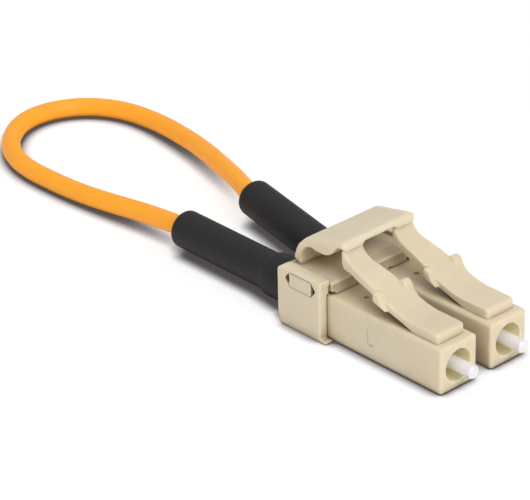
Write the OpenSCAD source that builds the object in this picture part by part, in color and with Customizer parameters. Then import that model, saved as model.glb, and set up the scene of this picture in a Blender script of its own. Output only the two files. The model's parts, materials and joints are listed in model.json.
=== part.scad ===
// Duplex fibre loopback plug: two square plugs in a clip, joined by one looped cable.
// The table is z = 0, the plugs point along +x and the origin is the middle of the clip's underside.
// All sizes are in millimetres.

/* [Plugs] */

// distance between the two plug axes
plug_pitch = 6.25; // [5.6:0.05:8]
// width and height of a plug's square housing
plug_w = 4.5; // [4.2:0.05:5]
// reach of the plugs ahead of the clip
plug_out = 14; // [12.5:0.5:18]
// depth of the housing inside the clip
plug_in = 1; // [0.6:0.1:1.4]
// rounding of the housing's long edges
edge_r = 0.35; // [0.1:0.05:0.5]
// bevel round the housing's front face
face_bevel = 0.18; // [0.05:0.01:0.3]
// diameter of the round bore in the front face
bore_d = 3.1; // [2.8:0.05:3.4]
// depth of the round bore
bore_depth = 4.2; // [3.5:0.1:5]
// thickness of the web behind the bore
web_t = 0.8; // [0.5:0.1:1.2]
// width of the square cavity behind the web
cavity_w = 3.4; // [3.1:0.05:3.5]
// length of the snap window in each side of the housing
window_l = 1.5; // [1:0.1:2]
// height of the snap window in each side of the housing
window_h = 1.2; // [0.8:0.1:1.6]
// distance from the front face to the snap window's rear edge
window_back = 9.1; // [8.8:0.1:10]
// diameter of the gate mark on the housing's top
gate_d = 0.5; // [0.3:0.05:0.8]
// depth of the gate mark
gate_depth = 0.2; // [0.1:0.05:0.3]
// distance from the front face to the gate mark
gate_back = 11.3; // [10:0.1:12]

/* [Latch arms] */

// width of a latch arm from its root to its ears
arm_w = 3.4; // [2.8:0.1:3.8]
// width of a latch arm behind its ears
waist_w = 3; // [2.4:0.1:3.4]
// width of the arm's tail
tail_w = 2.4; // [1.8:0.1:3]
// setback of the arm's front pad from the front face
pad_setback = 0.95; // [0.6:0.05:1.4]
// height of the pad above the housing
pad_h = 0.9; // [0.7:0.05:1.1]
// rounding of the pad's top edge and front corners
pad_r = 0.35; // [0.1:0.05:0.5]
// distance from the front face to the arm's flexing root
root_back = 4.3; // [3.6:0.1:5.2]
// radius of the arm's root
root_r = 0.42; // [0.3:0.01:0.42]
// thickness of the arm behind its root
arm_t = 0.6; // [0.45:0.01:0.8]
// thickness of the arm where its tail begins
tail_t = 0.95; // [0.8:0.05:1.2]
// height of the upturned tail's rear face
tail_h = 1.95; // [1.5:0.05:2.2]
// rise of the tail's tip above the root
arm_rise = 3.88; // [3.5:0.02:3.9]
// width across the two side ears
ear_span = 4.3; // [4:0.05:4.5]
// width of an ear
ear_w = 0.95; // [0.8:0.05:1.1]
// length of an ear
ear_l = 1.7; // [1.2:0.1:2]
// height of an ear's rear end
ear_h = 0.9; // [0.7:0.05:1.2]
// height of the ears' tops above the root
ear_rise = 1.87; // [1.6:0.01:2]
// distance from the front face to an ear's front
ear_back = 6.9; // [6.5:0.05:7.5]
// rounding of an ear's corners
ear_r = 0.28; // [0.1:0.02:0.4]

/* [Ferrules and springs] */

// diameter of the ferrule
ferrule_d = 1.249; // [1.2:0.001:1.3]
// length of the ferrule
ferrule_l = 6.5; // [6:0.1:7]
// reach of the ferrule ahead of the front face
ferrule_out = 1.85; // [1.2:0.05:2.2]
// bevel at the ferrule's tip
tip_bevel = 0.12; // [0.05:0.01:0.2]
// diameter of the ferrule's tapered shank at its front, inside the flange
shank_d = 1.1; // [1:0.01:1.15]
// diameter of the shank at its rear
shank_end_d = 1; // [0.9:0.01:1.05]
// length of the ferrule's shank
shank_l = 1.4; // [1:0.05:1.8]
// diameter of the flange's nose
nose_d = 1.8; // [1.6:0.05:2]
// length of the flange's nose
nose_l = 1.7; // [1.2:0.1:2]
// width of the flange's six-sided collar across its corners
collar_d = 2.9; // [2.6:0.05:3]
// thickness of the collar
collar_t = 1.25; // [0.8:0.05:1.6]
// diameter of the flange's tail
stub_d = 1.45; // [1.35:0.05:1.6]
// length of the flange's tail
stub_l = 1.2; // [0.8:0.1:1.6]
// outer diameter of the guide tube
tube_d = 0.9; // [0.7:0.05:1]
// inner diameter of the guide tube
tube_id = 0.5; // [0.3:0.05:0.6]
// length of the guide tube
tube_l = 6.5; // [5:0.5:9]
// wire thickness of the spring
wire_d = 0.28; // [0.2:0.02:0.34]
// outer diameter of the spring
coil_d = 2.1; // [2:0.05:2.3]
// turns of the spring
coil_turns = 7; // [5:1:8]

/* [Rear bodies] */

// distance from the front face to the rear body's front end
body_back = 7.2; // [6.9:0.1:7.4]
// diameter of the spring pocket
pocket_d = 2.5; // [2.4:0.05:2.7]
// distance from the front face to the bottom of the spring pocket
pocket_back = 10.6; // [9.6:0.1:11.5]
// diameter of the cable passage
passage_d = 1.2; // [1.1:0.05:1.5]
// width of the neck inside the clip
neck_w = 3.6; // [3:0.1:3.8]
// diameter of the crimp stem
stem_d = 2.2; // [1.9:0.05:2.4]
// length of the crimp stem behind the clip
stem_l = 3.4; // [2.5:0.1:4]
// outer diameter of the crimp ring
ring_d = 2.9; // [2.6:0.05:3.1]
// length of the crimp ring
ring_l = 3.1; // [2.2:0.1:3.4]

/* [Clip] */

// length of the clip
clip_l = 5.6; // [5:0.1:7]
// height of the clip above the plugs
clip_rise = 1.45; // [1.3:0.05:1.9]
// thickness of the clip's side walls
wall_t = 0.9; // [0.7:0.05:1.2]
// overhang of the side walls above the plugs
wall_lip = 0.25; // [0.1:0.05:0.4]
// thickness of the clip's floor
floor_t = 0.75; // [0.5:0.05:0.9]
// thickness of the clip's rear wall
rear_t = 0.8; // [0.6:0.05:1]
// rounding of the side walls' top edges
top_r = 0.32; // [0.1:0.02:0.5]
// rounding of the clip's rear corners
corner_r = 0.3; // [0.1:0.05:0.6]
// rounding of the clip's rear top edge
crown_r = 0.9; // [0.5:0.05:1]
// length of the slope at the clip's rear heel
heel_l = 0.5; // [0.2:0.05:0.7]
// height of the slope at the clip's rear heel
heel_h = 1.5; // [0.8:0.1:2]
// length of the feet ahead of the side walls
foot_l = 0.7; // [0.5:0.1:1.5]
// height of the feet
foot_h = 0.25; // [0.2:0.05:0.6]
// thickness of the cover's deck
deck_t = 0.8; // [0.6:0.05:0.9]
// drop of the deck below the side walls
deck_drop = 0.1; // [0:0.05:0.2]
// how far the foot of the cover's front skirt leans forward
skirt_lean = 0.5; // [0:0.05:0.8]
// length of a cover lug
lug_l = 2.75; // [2:0.05:3]
// height of a cover lug
lug_h = 1.35; // [1:0.05:1.4]
// length of the pointed end of a lug's window
point_l = 0.55; // [0.3:0.05:0.6]
// depth of a lug's middle below the deck
lug_drop = 0.99; // [0.8:0.01:1.1]
// distance from the clip's front face to a lug
lug_back = 1.2; // [1:0.05:1.6]

/* [Trigger] */

// width of the trigger
trigger_w = 9.05; // [8.6:0.05:10]
// thickness of the trigger's foot
trigger_t = 1; // [0.8:0.05:1.1]
// thickening of the trigger's rear wall above its foot
wall_more = 0.3; // [0.1:0.05:0.4]
// flare of the rear wall's heel towards the clip's rear edge
flare = 0.35; // [0.1:0.05:0.4]
// distance from the clip's rear face to the middle of the trigger's foot
hinge_inset = 1.15; // [1:0.05:1.5]
// depth of the trigger's axis below the deck
hinge_drop = 0.2; // [0.1:0.05:0.3]
// reach of the trigger's lip ahead of the clip
lip_out = 1.22; // [0.9:0.02:1.6]
// clearance between the lip and the latch tails
lip_gap = 0.12; // [0.08:0.01:0.3]
// thickness of the lip
lip_t = 0.62; // [0.45:0.01:0.8]
// length of the lip
lip_l = 0.65; // [0.4:0.05:0.8]
// overlap of the lip over the latch tails
lip_over = 0.16; // [0.1:0.02:0.3]
// thickness of the trigger's top bar
bar_t = 1.35; // [1:0.05:1.5]
// slope of the trigger's top from its lip to its rear
top_fall = 0.7; // [0.3:0.05:0.8]
// rounding of the trigger's ends
end_r = 0.45; // [0.2:0.05:0.6]

/* [Sleeves] */

// diameter of a sleeve
sleeve_d = 3.65; // [3.2:0.05:3.9]
// diameter of a sleeve's bulge over the crimp ring
bulge_d = 4.25; // [3.9:0.05:4.4]
// length of the bulge
bulge_l = 3.65; // [3.3:0.05:4.5]
// length of a sleeve
sleeve_l = 16.2; // [14:0.1:18]
// rounding of a sleeve's loop end
rim_r = 0.4; // [0.2:0.05:0.6]

/* [Hidden] */

$fn = 40;

// gap between pieces that only rest beside each other
gap = 0.05;
// height of the arm's root above the housing
root_gap = 0.08;
// gap beside the trigger's wall in the mouth of its seat
seat_gap = 0.12;
// gap between the spring's ends and what they press on
spring_gap = 0.02;
// reach of a cut past the face that it opens
cut = 0.5;
// straight steps along a curve
steps = 10;
// segments in a rounded corner
corner_steps = 5;
// cable of the loop
cable_d = 1.85;
cable_sides = 8;
// wire of the springs
wire_sides = 6;
turn_steps = 14;

side_a = -1;
side_b = 1;

// heights
axis_z = plug_w / 2;
clip_h = plug_w + clip_rise;
deck_z = clip_h - deck_drop;
skirt_z = plug_w + gap;
hinge_z = deck_z - hinge_drop;
root_z = plug_w + root_r + root_gap;
lip_z = root_z + arm_rise + lip_gap;
lug_z = deck_z - lug_drop;

// stations along x
face_x = clip_l / 2 + plug_out;
seat_x = clip_l / 2 - plug_in;
rear_x = -clip_l / 2;
root_x = face_x - root_back;
hinge_x = rear_x + hinge_inset;
lip_x = clip_l / 2 + lip_out;
tail_x = lip_x - lip_l + lip_over;
arm_l = root_x - tail_x;
web_x = face_x - bore_depth - web_t;
collar_x = web_x - gap;
pocket_x = face_x - pocket_back;
neck_x = rear_x + rear_t + gap;
sleeve_x = rear_x - gap;
lug_x = clip_l / 2 - lug_back - lug_l / 2;
ear_x = face_x - ear_back;

// widths across y
inner_y = plug_pitch / 2 + plug_w / 2 + gap;
outer_y = inner_y + wall_t;
cover_y = inner_y - wall_lip - gap;

// the second sleeve leans outwards and a little upwards behind its bulge
sleeve_yaw = 11;
sleeve_pitch = 1;
bend_x = sleeve_x - bulge_l;
bend_l = sleeve_l - bulge_l;

// the loop's route from sleeve to sleeve, laid down on the table at its far end
loop_route = [
  [-20.4, -3.1, 2.15], [-22.9, -3.1, 1.9], [-25.4, -3.2, 1.65],
  [-29.3, -3.6, 1.3], [-33.4, -4, 1.05], [-37.7, -4.2, 0.95],
  [-41.4, -4.1, 0.93], [-44, -3.5, 0.93], [-46.5, -2.2, 0.93],
  [-48.5, -0.3, 0.93], [-49.8, 1.9, 0.93], [-50.2, 4.4, 0.93],
  [-49.6, 6.9, 0.93], [-48.1, 9.1, 0.93], [-46.2, 10.5, 0.93],
  [-44, 11.3, 0.95], [-41.2, 11.6, 1.05], [-38.5, 11.4, 1.25],
  [-35.8, 11, 1.4], [-31.8, 10.1, 1.7], [-26.2, 8.3, 2.1],
  [-22.7, 7, 2.35]
];

// colours
beige = "#DCCBAF";
ivory = "#E6D7BC";
ceramic = "#ECEAEA";
steel = "#B9BCC0";
brass = "#C9B36B";
clear = "#E8E8E4";
black = "#2F2C2E";
orange = "#FFA52D";

// a point of a cubic curve with four control points
function cubic(p, t) =
  pow(1 - t, 3) * p[0] + 3 * pow(1 - t, 2) * t * p[1]
  + 3 * (1 - t) * t * t * p[2] + pow(t, 3) * p[3];

// points along a cubic curve, without its first one
function bend(p, n = steps) = [for (i = [1 : n]) cubic(p, i / n)];

// points along an arc from angle a to angle b
function arc(centre, r, a, b, n = corner_steps) = [
  for (i = [0 : n])
    centre + r * [cos(a + (b - a) * i / n), sin(a + (b - a) * i / n)]
];

// outline of a rectangle with round corners, centred on the origin
function round_rect(w, h, r) = concat(
  arc([w / 2 - r, h / 2 - r], r, 0, 90),
  arc([r - w / 2, h / 2 - r], r, 90, 180),
  arc([r - w / 2, r - h / 2], r, 180, 270),
  arc([w / 2 - r, r - h / 2], r, 270, 360)
);

// a point of the latch arm, from its root at 0 to its tail's rear face at 1
function on_arm(along, up) = [root_x - along * arm_l, root_z + up];

function unit(v) = v / norm(v);

// the direction of a route at ring i, with the directions at its two ends given
function heading(p, i, first, last) =
  i == 0 ? first
  : i == len(p) - 1 ? last
  : unit(unit(p[i + 1] - p[i]) + unit(p[i] - p[i - 1]));

// corners of one ring across the direction d, with its first corner at right angles to up
function ring(centre, d, r, sides, up) =
  let (across = unit(cross(d, up)), over = cross(across, d))
  [
    for (k = [0 : sides - 1])
      centre + r * (cos(360 * k / sides) * across + sin(360 * k / sides) * over)
  ];

// triangles between the rings of a tube, and its two ends
function tube_faces(rings, sides) = concat(
  [[for (k = [0 : sides - 1]) k]],
  [
    for (i = [0 : rings - 2], k = [0 : sides - 1])
      each let (a = i * sides, b = a + sides, next = (k + 1) % sides)
        [[a + k, b + k, b + next], [a + k, b + next, a + next]]
  ],
  [[for (k = [sides - 1 : -1 : 0]) (rings - 1) * sides + k]]
);

// a tube along a route of points
module tube_along(p, d, sides, first, last, up = [0, 0, 1]) {
  rings = [
    for (i = [0 : len(p) - 1])
      ring(p[i], heading(p, i, first, last), d / 2, sides, up)
  ];
  polyhedron([for (r = rings) each r], tube_faces(len(p), sides), 4);
}

// sets a side view, drawn in x and z, upright and gives it a width across y
module across(w) {
  rotate([90, 0, 0])
    linear_extrude(w, center = true)
      children();
}

// sets a front view, drawn in y and z, upright and gives it a length from x = 0 backwards
module lengthwise(l) {
  rotate([90, 0, -90])
    mirror([1, 0, 0])
      linear_extrude(l)
        children();
}

// a round bar along x from x1 to x2 at the height of the plugs' axes
module bar(x1, x2, d) {
  translate([x1, 0, axis_z])
    rotate([0, 90, 0])
      cylinder(h = x2 - x1, d = d);
}

// a square bar along x from x1 to x2
module block(x1, x2, w, z1, z2) {
  translate([x1, -w / 2, z1])
    cube([x2 - x1, w, z2 - z1]);
}

// moves a plug's piece to its side of the clip
module on_side(side) {
  translate([0, side * plug_pitch / 2, 0])
    children();
}

// square housing with a round bore in front and a square cavity behind
module housing(side) {
  color(beige)
    on_side(side)
      difference() {
        union() {
          housing_shell();
          arm_pad();
        }
        bar(web_x - cut, face_x + cut, nose_d + 2 * gap);
        bar(web_x + web_t, face_x + cut, bore_d);
        block(
          seat_x - cut, web_x, cavity_w,
          axis_z - cavity_w / 2, axis_z + cavity_w / 2
        );
        block(
          face_x - window_back, face_x - window_back + window_l,
          plug_w + 2 * cut, axis_z - window_h / 2, axis_z + window_h / 2
        );
        translate([root_x, 0, root_z])
          rotate([90, 0, 0])
            cylinder(h = arm_w + 2 * cut, r = root_r + gap, center = true);
        translate([face_x - gate_back, 0, plug_w - gate_depth])
          cylinder(h = gate_depth + cut, d = gate_d);
      }
}

module housing_shell() {
  difference() {
    translate([face_x, 0, axis_z])
      lengthwise(face_x - seat_x)
        polygon(round_rect(plug_w, plug_w, edge_r));
    for (turn = [0 : 90 : 270])
      translate([face_x, 0, axis_z])
        rotate([turn, 0, 0])
          translate([0, 0, plug_w / 2])
            across(plug_w + 2 * cut)
              polygon([[cut, cut], [-face_bevel - cut, cut], [cut, -face_bevel - cut]]);
  }
}

// raised pad at the front that carries the latch arm's root
module arm_pad() {
  front = face_x - pad_setback;
  intersection() {
    across(arm_w)
      polygon(concat(
        [[front, plug_w - edge_r], [root_x, plug_w - edge_r], [root_x, plug_w + pad_h]],
        arc([front - pad_r, plug_w + pad_h - pad_r], pad_r, 90, 0)
      ));
    linear_extrude(2 * plug_w)
      polygon(concat(
        [[root_x - cut, arm_w / 2], [root_x - cut, -arm_w / 2]],
        arc([front - pad_r, pad_r - arm_w / 2], pad_r, -90, 0),
        arc([front - pad_r, arm_w / 2 - pad_r], pad_r, 0, 90)
      ));
  }
}

// springy latch arm with its upturned tail and two ears
module latch(side) {
  color(beige)
    on_side(side) {
      translate([root_x, 0, root_z])
        rotate([90, 0, 0])
          cylinder(h = arm_w, r = root_r, center = true);
      intersection() {
        across(ear_span)
          polygon(concat(arm_top(), arm_tail(), arm_under()));
        linear_extrude(3 * plug_w)
          polygon(arm_plan());
      }
      ear();
      mirror([0, 1, 0])
        ear();
    }
}

// plan of the arm: wide in front of its ears, then tapering to its tail
function arm_plan() =
  let (
    half = [
      [root_x, arm_w / 2], [ear_x, arm_w / 2],
      [ear_x - 0.7 * ear_l, waist_w / 2], [ear_x - 1.3 * ear_l, waist_w / 2],
      [tail_x + tail_t, tail_w / 2], [tail_x - cut, tail_w / 2]
    ]
  )
  concat(half, [for (i = [len(half) - 1 : -1 : 0]) [half[i][0], -half[i][1]]]);

// an ear on the arm's left edge, with a round rear corner and a sloping front
module ear() {
  rear = ear_x - ear_l;
  intersection() {
    translate([0, (ear_span - ear_w) / 2, 0])
      across(ear_w)
        polygon(ear_outline());
    linear_extrude(3 * plug_w)
      polygon(concat(
        [[rear, 0], [ear_x, 0], [ear_x, ear_span / 2]],
        arc([rear + ear_r, ear_span / 2 - ear_r], ear_r, 90, 180)
      ));
  }
}

// the arm's top edge, from its root to its tip
function arm_top() = concat(
  [on_arm(0, root_r)],
  bend([
    on_arm(0, root_r), on_arm(0.255, root_r + 0.18),
    on_arm(0.41, 0.43 * arm_rise), on_arm(0.77, 0.645 * arm_rise)
  ], 14),
  bend([
    on_arm(0.77, 0.645 * arm_rise), on_arm(0.89, 0.7 * arm_rise),
    on_arm(0.95, 0.84 * arm_rise), on_arm(0.968, 0.985 * arm_rise)
  ])
);

// the tail's rounded tip, rear face and heel
function arm_tail() = concat(
  [on_arm(0.978, arm_rise), on_arm(0.99, arm_rise - 0.01), on_arm(1, arm_rise - 0.1)],
  [on_arm(1, arm_rise - 0.62 * tail_h)],
  bend([
    on_arm(1, arm_rise - 0.62 * tail_h), on_arm(1, arm_rise - 0.86 * tail_h),
    on_arm(0.97, arm_rise - tail_h), on_arm(0.915, arm_rise - tail_h)
  ], 6)
);

// the arm's underside, from its tail back to its root
function arm_under() = concat(
  bend([
    on_arm(0.915, arm_rise - tail_h), on_arm(0.86, arm_rise - tail_h - 0.02),
    on_arm(0.82, 0.665 * arm_rise - tail_t + 0.1), on_arm(0.77, 0.645 * arm_rise - tail_t)
  ], 6),
  [
    for (i = [11 : -1 : 2])
      let (q = arm_top()[i + 1], s = (root_x - q[0]) / arm_l)
      [q[0], q[1] - arm_t - (tail_t - arm_t) * s]
  ],
  [on_arm(0.02, -0.9 * root_r), on_arm(0, -root_r)]
);

// side view of an ear
function ear_outline() =
  let (
    rear = ear_x - ear_l,
    top = root_z + ear_rise
  )
  concat(
    [[ear_x, top - 1.58 * ear_h], [rear, top - ear_h]],
    arc([rear + ear_r, top - ear_r], ear_r, 180, 90),
    bend([
      [rear + 0.35 * ear_l, top - 0.02], [rear + 0.55 * ear_l, top - 0.08 * ear_h],
      [rear + 0.6 * ear_l, top - 1.05 * ear_h], [ear_x, top - 1.4 * ear_h]
    ], 8)
  );

// ceramic ferrule with a bevelled tip and a shank pressed in the flange
module ferrule(side) {
  tip = face_x + ferrule_out;
  color(ceramic)
    on_side(side)
      translate([tip, 0, axis_z])
        rotate([0, -90, 0])
          rotate_extrude()
            polygon([
              [0, 0], [ferrule_d / 2 - tip_bevel, 0], [ferrule_d / 2, tip_bevel],
              [ferrule_d / 2, ferrule_l - shank_l], [shank_d / 2, ferrule_l - shank_l],
              [shank_end_d / 2, ferrule_l], [0, ferrule_l]
            ]);
}

// metal flange pressed on the ferrule: nose, six-sided collar and tail
module flange(side) {
  color(steel)
    on_side(side)
      difference() {
        union() {
          bar(collar_x - collar_t / 2, collar_x + nose_l, nose_d);
          translate([collar_x - collar_t, 0, axis_z])
            rotate([0, 90, 0])
              cylinder(h = collar_t, d = collar_d, $fn = 6);
          bar(collar_x - collar_t - stub_l, collar_x - collar_t / 2, stub_d);
        }
        bar(
          face_x + ferrule_out - ferrule_l - 0.02, collar_x + nose_l + cut,
          shank_d + 0.02
        );
        bar(
          collar_x - collar_t - stub_l - cut, face_x + ferrule_out - ferrule_l,
          tube_d + 0.02
        );
      }
}

// clear guide tube behind the ferrule
module guide(side) {
  front = face_x + ferrule_out - ferrule_l - gap;
  color(clear)
    on_side(side)
      difference() {
        bar(front - tube_l, front, tube_d);
        bar(front - tube_l - cut, front + cut, tube_id);
      }
}

// coil spring between the flange's collar and the bottom of the pocket
module spring(side) {
  r = (coil_d - wire_d) / 2;
  x1 = pocket_x + wire_d / 2 + spring_gap;
  x2 = collar_x - collar_t - wire_d / 2 - spring_gap;
  n = turn_steps * coil_turns;
  p = [
    for (i = [0 : n])
      [
        x1 + (x2 - x1) * i / n, r * cos(360 * i / turn_steps),
        axis_z + r * sin(360 * i / turn_steps)
      ]
  ];
  color(steel)
    on_side(side)
      tube_along(p, wire_d, wire_sides, unit(p[1] - p[0]), unit(p[n] - p[n - 1]), [1, 0, 0]);
}

// rear body: spring pocket and snap lugs in the housing, neck in the clip, crimp stem behind
module backbone(side) {
  body_w = cavity_w - 2 * gap;
  color(beige)
    on_side(side)
      difference() {
        union() {
          block(
            seat_x - gap, face_x - body_back, body_w,
            axis_z - body_w / 2, axis_z + body_w / 2
          );
          block(
            face_x - window_back + gap, face_x - window_back + window_l - gap,
            plug_w, axis_z - window_h / 2 + gap, axis_z + window_h / 2 - gap
          );
          block(neck_x, seat_x - gap, neck_w, floor_t + gap, plug_w - gap);
          bar(rear_x - stem_l, neck_x, stem_d);
        }
        bar(pocket_x, face_x - body_back + cut, pocket_d);
        bar(rear_x - stem_l - cut, pocket_x + cut, passage_d);
      }
}

// crimp ring on the stem
module crimp(side) {
  color(brass)
    on_side(side)
      difference() {
        bar(sleeve_x - gap - ring_l, sleeve_x - gap, ring_d);
        bar(sleeve_x - ring_l - cut, sleeve_x + cut, stem_d + gap);
      }
}

// outline of a sleeve's bulge, as radius and distance behind the clip
function bulge_outline() = [
  [0, 0], [bulge_d / 2 - 0.1, 0], [bulge_d / 2 - 0.02, 0.3 * bulge_l],
  [bulge_d / 2, 0.75 * bulge_l], [bulge_d / 2 - 0.05, 0.88 * bulge_l],
  [sleeve_d / 2 + 0.08, bulge_l], [sleeve_d / 2, bulge_l + 0.3],
  [sleeve_d / 2, bulge_l + 0.8], [0, bulge_l + 0.8]
];

// black sleeve: a bulge over the crimp ring and a long straight tail with a round rim
module sleeve(side, yaw, pitch) {
  color(black)
    on_side(side)
      difference() {
        union() {
          translate([sleeve_x, 0, axis_z])
            rotate([0, -90, 0])
              rotate_extrude()
                polygon(bulge_outline());
          translate([bend_x, 0, axis_z])
            rotate([0, pitch, -yaw])
              rotate([0, -90, 0])
                rotate_extrude()
                  polygon(concat(
                    [[0, 0]],
                    arc([0, 0], sleeve_d / 2 - 0.01, -60, 0),
                    arc([sleeve_d / 2 - rim_r, bend_l - rim_r], rim_r, 0, 90),
                    [[0, bend_l]]
                  ));
        }
        bar(sleeve_x - gap - ring_l - 0.2, sleeve_x + cut, ring_d + gap);
      }
}

// where a sleeve's loop end lies, and the way that it points
function loop_end(side, yaw, pitch) =
  [bend_x, side * plug_pitch / 2, axis_z] + bend_l * loop_way(yaw, pitch);

function loop_way(yaw, pitch) = [
  -cos(yaw) * cos(pitch), sin(yaw) * cos(pitch), sin(pitch)
];

// orange cable from one sleeve round to the other
module fibre_loop() {
  way_a = loop_way(0, 0);
  way_b = loop_way(sleeve_yaw, sleeve_pitch);
  p = concat(
    [loop_end(side_a, 0, 0)], loop_route,
    [loop_end(side_b, sleeve_yaw, sleeve_pitch)]
  );
  color(orange)
    tube_along(p, cable_d, cable_sides, way_a, -way_b);
}

// the clip's base: floor, side walls with lug windows, divider and slotted rear wall
module clip_base() {
  color(ivory) {
    difference() {
      base_outline();
      for (side = [side_a, side_b]) {
        on_side(side) {
          block(seat_x - gap, clip_l, plug_w + 2 * gap, -cut, skirt_z);
          block(rear_x + rear_t, seat_x, plug_w + 2 * gap, floor_t, skirt_z);
          bar(rear_x - cut, rear_x + rear_t + cut, stem_d + 2 * gap);
          block(
            rear_x - cut, rear_x + rear_t + cut,
            stem_d + 2 * gap, axis_z, skirt_z
          );
        }
        translate([lug_x, side * (outer_y - wall_t / 2), lug_z])
          across(2 * wall_t)
            polygon(lug_window());
      }
      block(rear_x - cut, clip_l, 2 * cover_y + 2 * gap, skirt_z, clip_h + cut);
    }
    for (side = [side_a, side_b])
      translate([clip_l / 2, side * (outer_y - wall_t / 2), foot_h / 2])
        cube([2 * foot_l, wall_t, foot_h], center = true);
  }
}

// solid block of the base, before its cavities: side view, front view and plan in one
module base_outline() {
  w = 2 * outer_y;
  intersection() {
    across(w)
      polygon(concat(
        [
          [rear_x, heel_h], [rear_x + heel_l, 0],
          [clip_l / 2, 0], [clip_l / 2, clip_h]
        ],
        crown(clip_h)
      ));
    translate([clip_l / 2, 0, 0])
      lengthwise(clip_l)
        polygon(concat(
          [[-w / 2, 0], [w / 2, 0]],
          arc([w / 2 - top_r, clip_h - top_r], top_r, 0, 90),
          arc([top_r - w / 2, clip_h - top_r], top_r, 90, 180)
        ));
    linear_extrude(clip_h)
      polygon(concat(
        [[clip_l / 2, -w / 2], [clip_l / 2, w / 2]],
        arc([rear_x + corner_r, w / 2 - corner_r], corner_r, 90, 180),
        arc([rear_x + corner_r, corner_r - w / 2], corner_r, 180, 270)
      ));
  }
}

// round rear top edge of the clip, in side view, under the height z
function crown(z) = arc([rear_x + crown_r, z - crown_r], crown_r, 90, 180, 2 * corner_steps);

// window for a cover lug, pointed at both ends
function lug_window() =
  let (l = lug_l / 2 + gap, h = lug_h / 2 + gap)
  [[-l - point_l, 0], [-l, -h], [l, -h], [l + point_l, 0], [l, h], [-l, h]];

// the clip's cover: deck with a front and a rear skirt, flush snap lugs and the trigger's seat
module clip_cover() {
  color(ivory)
    difference() {
      union() {
        across(2 * cover_y)
          polygon(cover_outline());
        for (side = [0, 1])
          mirror([0, side, 0])
            cover_lug();
        for (side = [side_a, side_b])
          on_side(side)
            block(
              rear_x + gap, rear_x + rear_t - gap, stem_d,
              axis_z + stem_d / 2 + gap, skirt_z
            );
      }
      translate([hinge_x, 0, hinge_z])
        rotate([90, 0, 0])
          cylinder(
            h = trigger_w + 2 * gap, r = trigger_t / 2 + gap, center = true
          );
      block(
        hinge_x - trigger_t / 2 - seat_gap, hinge_x + trigger_t / 2 + seat_gap,
        trigger_w + 2 * gap, hinge_z, deck_z + cut
      );
    }
}

// side view of the cover
function cover_outline() =
  let (
    rear_skirt_x = hinge_x + trigger_t / 2 + 2 * seat_gap,
    under_z = deck_z - deck_t
  )
  concat(
    [
      [rear_x, skirt_z], [rear_skirt_x, skirt_z], [rear_skirt_x, under_z],
      [seat_x, under_z], [seat_x, skirt_z],
      [clip_l / 2 + skirt_lean, skirt_z],
      [clip_l / 2 + skirt_lean, skirt_z + gap], [clip_l / 2, deck_z]
    ],
    crown(deck_z)
  );

// a snap lug in the left side wall, flush with it, and the bridge that carries it
module cover_lug() {
  top = lug_z + lug_h / 2;
  translate([lug_x - lug_l / 2, inner_y, top - lug_h])
    cube([lug_l, wall_t, lug_h]);
  translate([lug_x - lug_l / 2, cover_y - gap, skirt_z])
    cube([lug_l, inner_y - cover_y + 2 * gap, top - skirt_z]);
}

// wide bent lever over both latch tails, on a round foot that turns in the cover's seat
module trigger() {
  color(ivory) {
    translate([hinge_x, 0, hinge_z])
      rotate([90, 0, 0])
        cylinder(h = trigger_w, d = trigger_t, center = true);
    intersection() {
      across(trigger_w)
        polygon(trigger_outline());
      trigger_ends();
      linear_extrude(3 * clip_h)
        translate([(lip_x + trigger_rear) / 2, 0])
          polygon(round_rect(lip_x - trigger_rear, trigger_w, end_r - 0.1));
    }
  }
}

// rearmost point of the trigger
trigger_rear = hinge_x - trigger_t / 2 - flare;

// a bar along the slope of the trigger's top, with round shoulders
module trigger_ends() {
  top_z = lip_z + lip_t;
  long = lip_x - trigger_rear + 2 * clip_h;
  slope = atan(top_fall / (lip_x - hinge_x - 2.35));
  translate([lip_x, 0, top_z + 0.06])
    rotate([0, -slope, 0])
      translate([clip_h, 0, -clip_h])
        lengthwise(long)
          polygon(round_rect(trigger_w, 2 * clip_h, end_r));
}

// side view of the trigger: rear wall on its foot, thick top bar and thin lip
function trigger_outline() =
  let (
    back = hinge_x - trigger_t / 2,
    inside = hinge_x + trigger_t / 2,
    top_z = lip_z + lip_t,
    rear_z = top_z - top_fall,
    under_z = rear_z - bar_t
  )
  concat(
    [
      [back, hinge_z], [back, deck_z + gap],
      [back - flare, deck_z + gap], [back - flare, deck_z + 2 * gap]
    ],
    bend([
      [back - flare, deck_z + 2 * gap], [back - 0.7 * flare, deck_z + 0.5],
      [back, deck_z + 0.8], [back, rear_z - 1.85]
    ], 7),
    bend([
      [back, rear_z - 1.85], [back, rear_z - 0.95],
      [back + 0.75, rear_z - 0.2], [back + 2.05, rear_z]
    ]),
    [[lip_x - 0.8, top_z]],
    bend([
      [lip_x - 0.8, top_z], [lip_x - 0.3, top_z + 0.07],
      [lip_x, top_z - 0.2], [lip_x, lip_z + 0.04]
    ], 7),
    [[lip_x - 0.04, lip_z], [lip_x - lip_l, lip_z]],
    bend([
      [lip_x - lip_l, lip_z], [lip_x - lip_l - 0.65, lip_z - 0.05],
      [lip_x - lip_l - 0.7, under_z + 0.3], [lip_x - lip_l - 1.8, under_z + 0.06]
    ]),
    [[inside + wall_more + 0.85, under_z]],
    bend([
      [inside + wall_more + 0.85, under_z], [inside + wall_more + 0.3, under_z - 0.02],
      [inside + wall_more, under_z - 0.2], [inside + wall_more, under_z - 0.7]
    ], 6),
    [
      [inside + wall_more, hinge_z + 0.9], [inside, hinge_z + 0.45],
      [inside, hinge_z]
    ]
  );

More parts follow.
